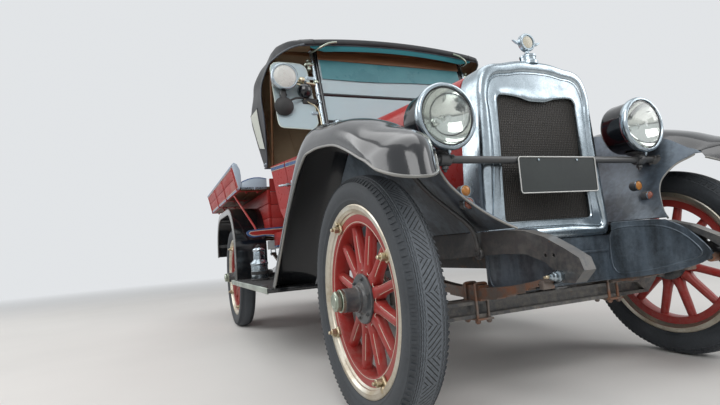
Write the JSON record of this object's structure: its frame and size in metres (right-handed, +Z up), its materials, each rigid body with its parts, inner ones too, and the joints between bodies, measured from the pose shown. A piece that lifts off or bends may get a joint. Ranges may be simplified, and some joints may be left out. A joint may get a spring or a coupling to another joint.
{
  "type": "vintage open utility car",
  "caption": "Vintage open utility car: two-seat cab with soft top, drum headlamps, wood-spoke wheels, long fenders, running boards and a flared load bed with a drop tailgate",
  "frame": {"origin": "on the ground, midway between the ends and the sides of the car", "axes": "+X is the car's left side, the car faces -Y, +Z is up"},
  "size_m": [1.72, 4.245, 1.7949],
  "materials": {
    "wheel_red": "painted red oil enamel, satin",
    "tyre": "weathered dark grey rubber",
    "frame_dark": "dusty black chassis paint",
    "spring_steel": "rusty oiled steel",
    "iron": "dull grey iron",
    "nickel": "worn nickel plate",
    "core_black": "matte black core",
    "body_red": "gloss red enamel",
    "seat_leather": "dark buttoned leather",
    "glass": "clear glass",
    "canopy_fabric": "black grained top cloth",
    "black_paint": "gloss black enamel",
    "apron_grey": "worn blue grey paint",
    "plate_black": "blank plate, satin",
    "amber": "amber lens",
    "bed_red": "red painted boards",
    "bow_wood": "varnished wood"
  },
  "bodies": {
    "chassis": {"body_tub": "body_red", "canopy": "canopy_fabric", "canopy_bows": "bow_wood", "cross_members": "frame_dark", "engine": "iron", "exhaust": "iron", "fender_aprons": "black_paint", "fender_front_left": "black_paint", "fender_front_right": "black_paint", "fender_rear_left": "black_paint", "fender_rear_right": "black_paint", "frame_rail_left": "frame_dark", "frame_rail_right": "frame_dark", "front_apron": "apron_grey", "front_axle": "frame_dark", "front_plate": "plate_black", "front_springs": "spring_steel", "gas_generator": "nickel", "headlamp_lenses": "glass", "headlamps": "black_paint", "hood_sides": "body_red", "lamp_bar": "frame_dark", "load_bed": "bed_red", "radiator_cap": "nickel", "radiator_core": "core_black", "radiator_shell": "nickel", "rear_axle": "frame_dark", "rear_springs": "spring_steel", "running_boards": "black_paint", "seat": "seat_leather", "signal_lamps": "amber", "spot_lamp": "nickel", "spring_hangers": "spring_steel", "steering_column": "black_paint", "windshield_frame": "black_paint", "windshield_glass": "glass"},
    "knuckle_right": {"knuckle_right": "frame_dark"},
    "wheel_front_right": {"wheel_front_right": "wheel_red", "tyre_front_right": "tyre"},
    "wheel_rear_right": {"wheel_rear_right": "wheel_red", "tyre_rear_right": "tyre"},
    "door_right": {"door_right": "body_red"},
    "hood_right": {"hood_top_right": "body_red"},
    "knuckle_left": {"knuckle_left": "frame_dark"},
    "wheel_front_left": {"wheel_front_left": "wheel_red", "tyre_front_left": "tyre"},
    "wheel_rear_left": {"wheel_rear_left": "wheel_red", "tyre_rear_left": "tyre"},
    "door_left": {"door_left": "body_red"},
    "hood_left": {"hood_top_left": "body_red"},
    "tie_rod": {"tie_rod": "frame_dark"},
    "tailgate": {"tailgate": "bed_red"},
    "steering_wheel": {"steering_wheel": "bow_wood"}
  },
  "joints": [
    {"name": "steer_right", "type": "hinge", "parent": "chassis", "child": "knuckle_right", "pos_m": [-0.637, -1.6175, 0.392], "axis": [0, 0, 1], "range_deg": [-30, 30]},
    {"name": "spin_front_right", "type": "hinge", "parent": "knuckle_right", "child": "wheel_front_right", "pos_m": [-0.725, -1.6175, 0.392], "axis": [1, 0, 0], "continuous": true},
    {"name": "spin_rear_right", "type": "hinge", "parent": "chassis", "child": "wheel_rear_right", "pos_m": [-0.725, 0.9985, 0.392], "axis": [1, 0, 0], "continuous": true},
    {"name": "door_right_swing", "type": "hinge", "parent": "chassis", "child": "door_right", "pos_m": [-0.498, -0.6195, 0.894], "axis": [0, 0, 1], "range_deg": [0, 68]},
    {"name": "hood_right_lift", "type": "hinge", "parent": "chassis", "child": "hood_right", "pos_m": [0, -1.2435, 1.212], "axis": [0, 1, 0], "range_deg": [0, 60]},
    {"name": "steer_left", "type": "hinge", "parent": "chassis", "child": "knuckle_left", "pos_m": [0.637, -1.6175, 0.392], "axis": [0, 0, 1], "range_deg": [-30, 30]},
    {"name": "spin_front_left", "type": "hinge", "parent": "knuckle_left", "child": "wheel_front_left", "pos_m": [0.725, -1.6175, 0.392], "axis": [1, 0, 0], "continuous": true},
    {"name": "spin_rear_left", "type": "hinge", "parent": "chassis", "child": "wheel_rear_left", "pos_m": [0.725, 0.9985, 0.392], "axis": [1, 0, 0], "continuous": true},
    {"name": "door_left_swing", "type": "hinge", "parent": "chassis", "child": "door_left", "pos_m": [0.498, -0.6195, 0.894], "axis": [0, 0, 1], "range_deg": [-68, 0]},
    {"name": "hood_left_lift", "type": "hinge", "parent": "chassis", "child": "hood_left", "pos_m": [0, -1.2435, 1.212], "axis": [0, 1, 0], "range_deg": [-60, 0]},
    {"name": "tie_rod_pivot", "type": "hinge", "parent": "knuckle_right", "child": "tie_rod", "pos_m": [-0.637, -1.4675, 0.316], "axis": [0, 0, 1], "range_deg": [-30, 30]},
    {"name": "tailgate_drop", "type": "hinge", "parent": "chassis", "child": "tailgate", "pos_m": [0, 2.1115, 0.751], "axis": [1, 0, 0], "range_deg": [-90, 0]},
    {"name": "steering_wheel_turn", "type": "hinge", "parent": "chassis", "child": "steering_wheel", "pos_m": [-0.25, -0.4275, 1.15], "axis": [0, 0.7772, 0.6292], "range_deg": [-300, 300]}
  ],
  "couplings": [
    {"joint": "steer_left", "follows": "steer_right", "ratio": 1},
    {"joint": "tie_rod_pivot", "follows": "steer_right", "ratio": -1},
    {"joint": "steering_wheel_turn", "follows": "steer_right", "ratio": 10}
  ]
}
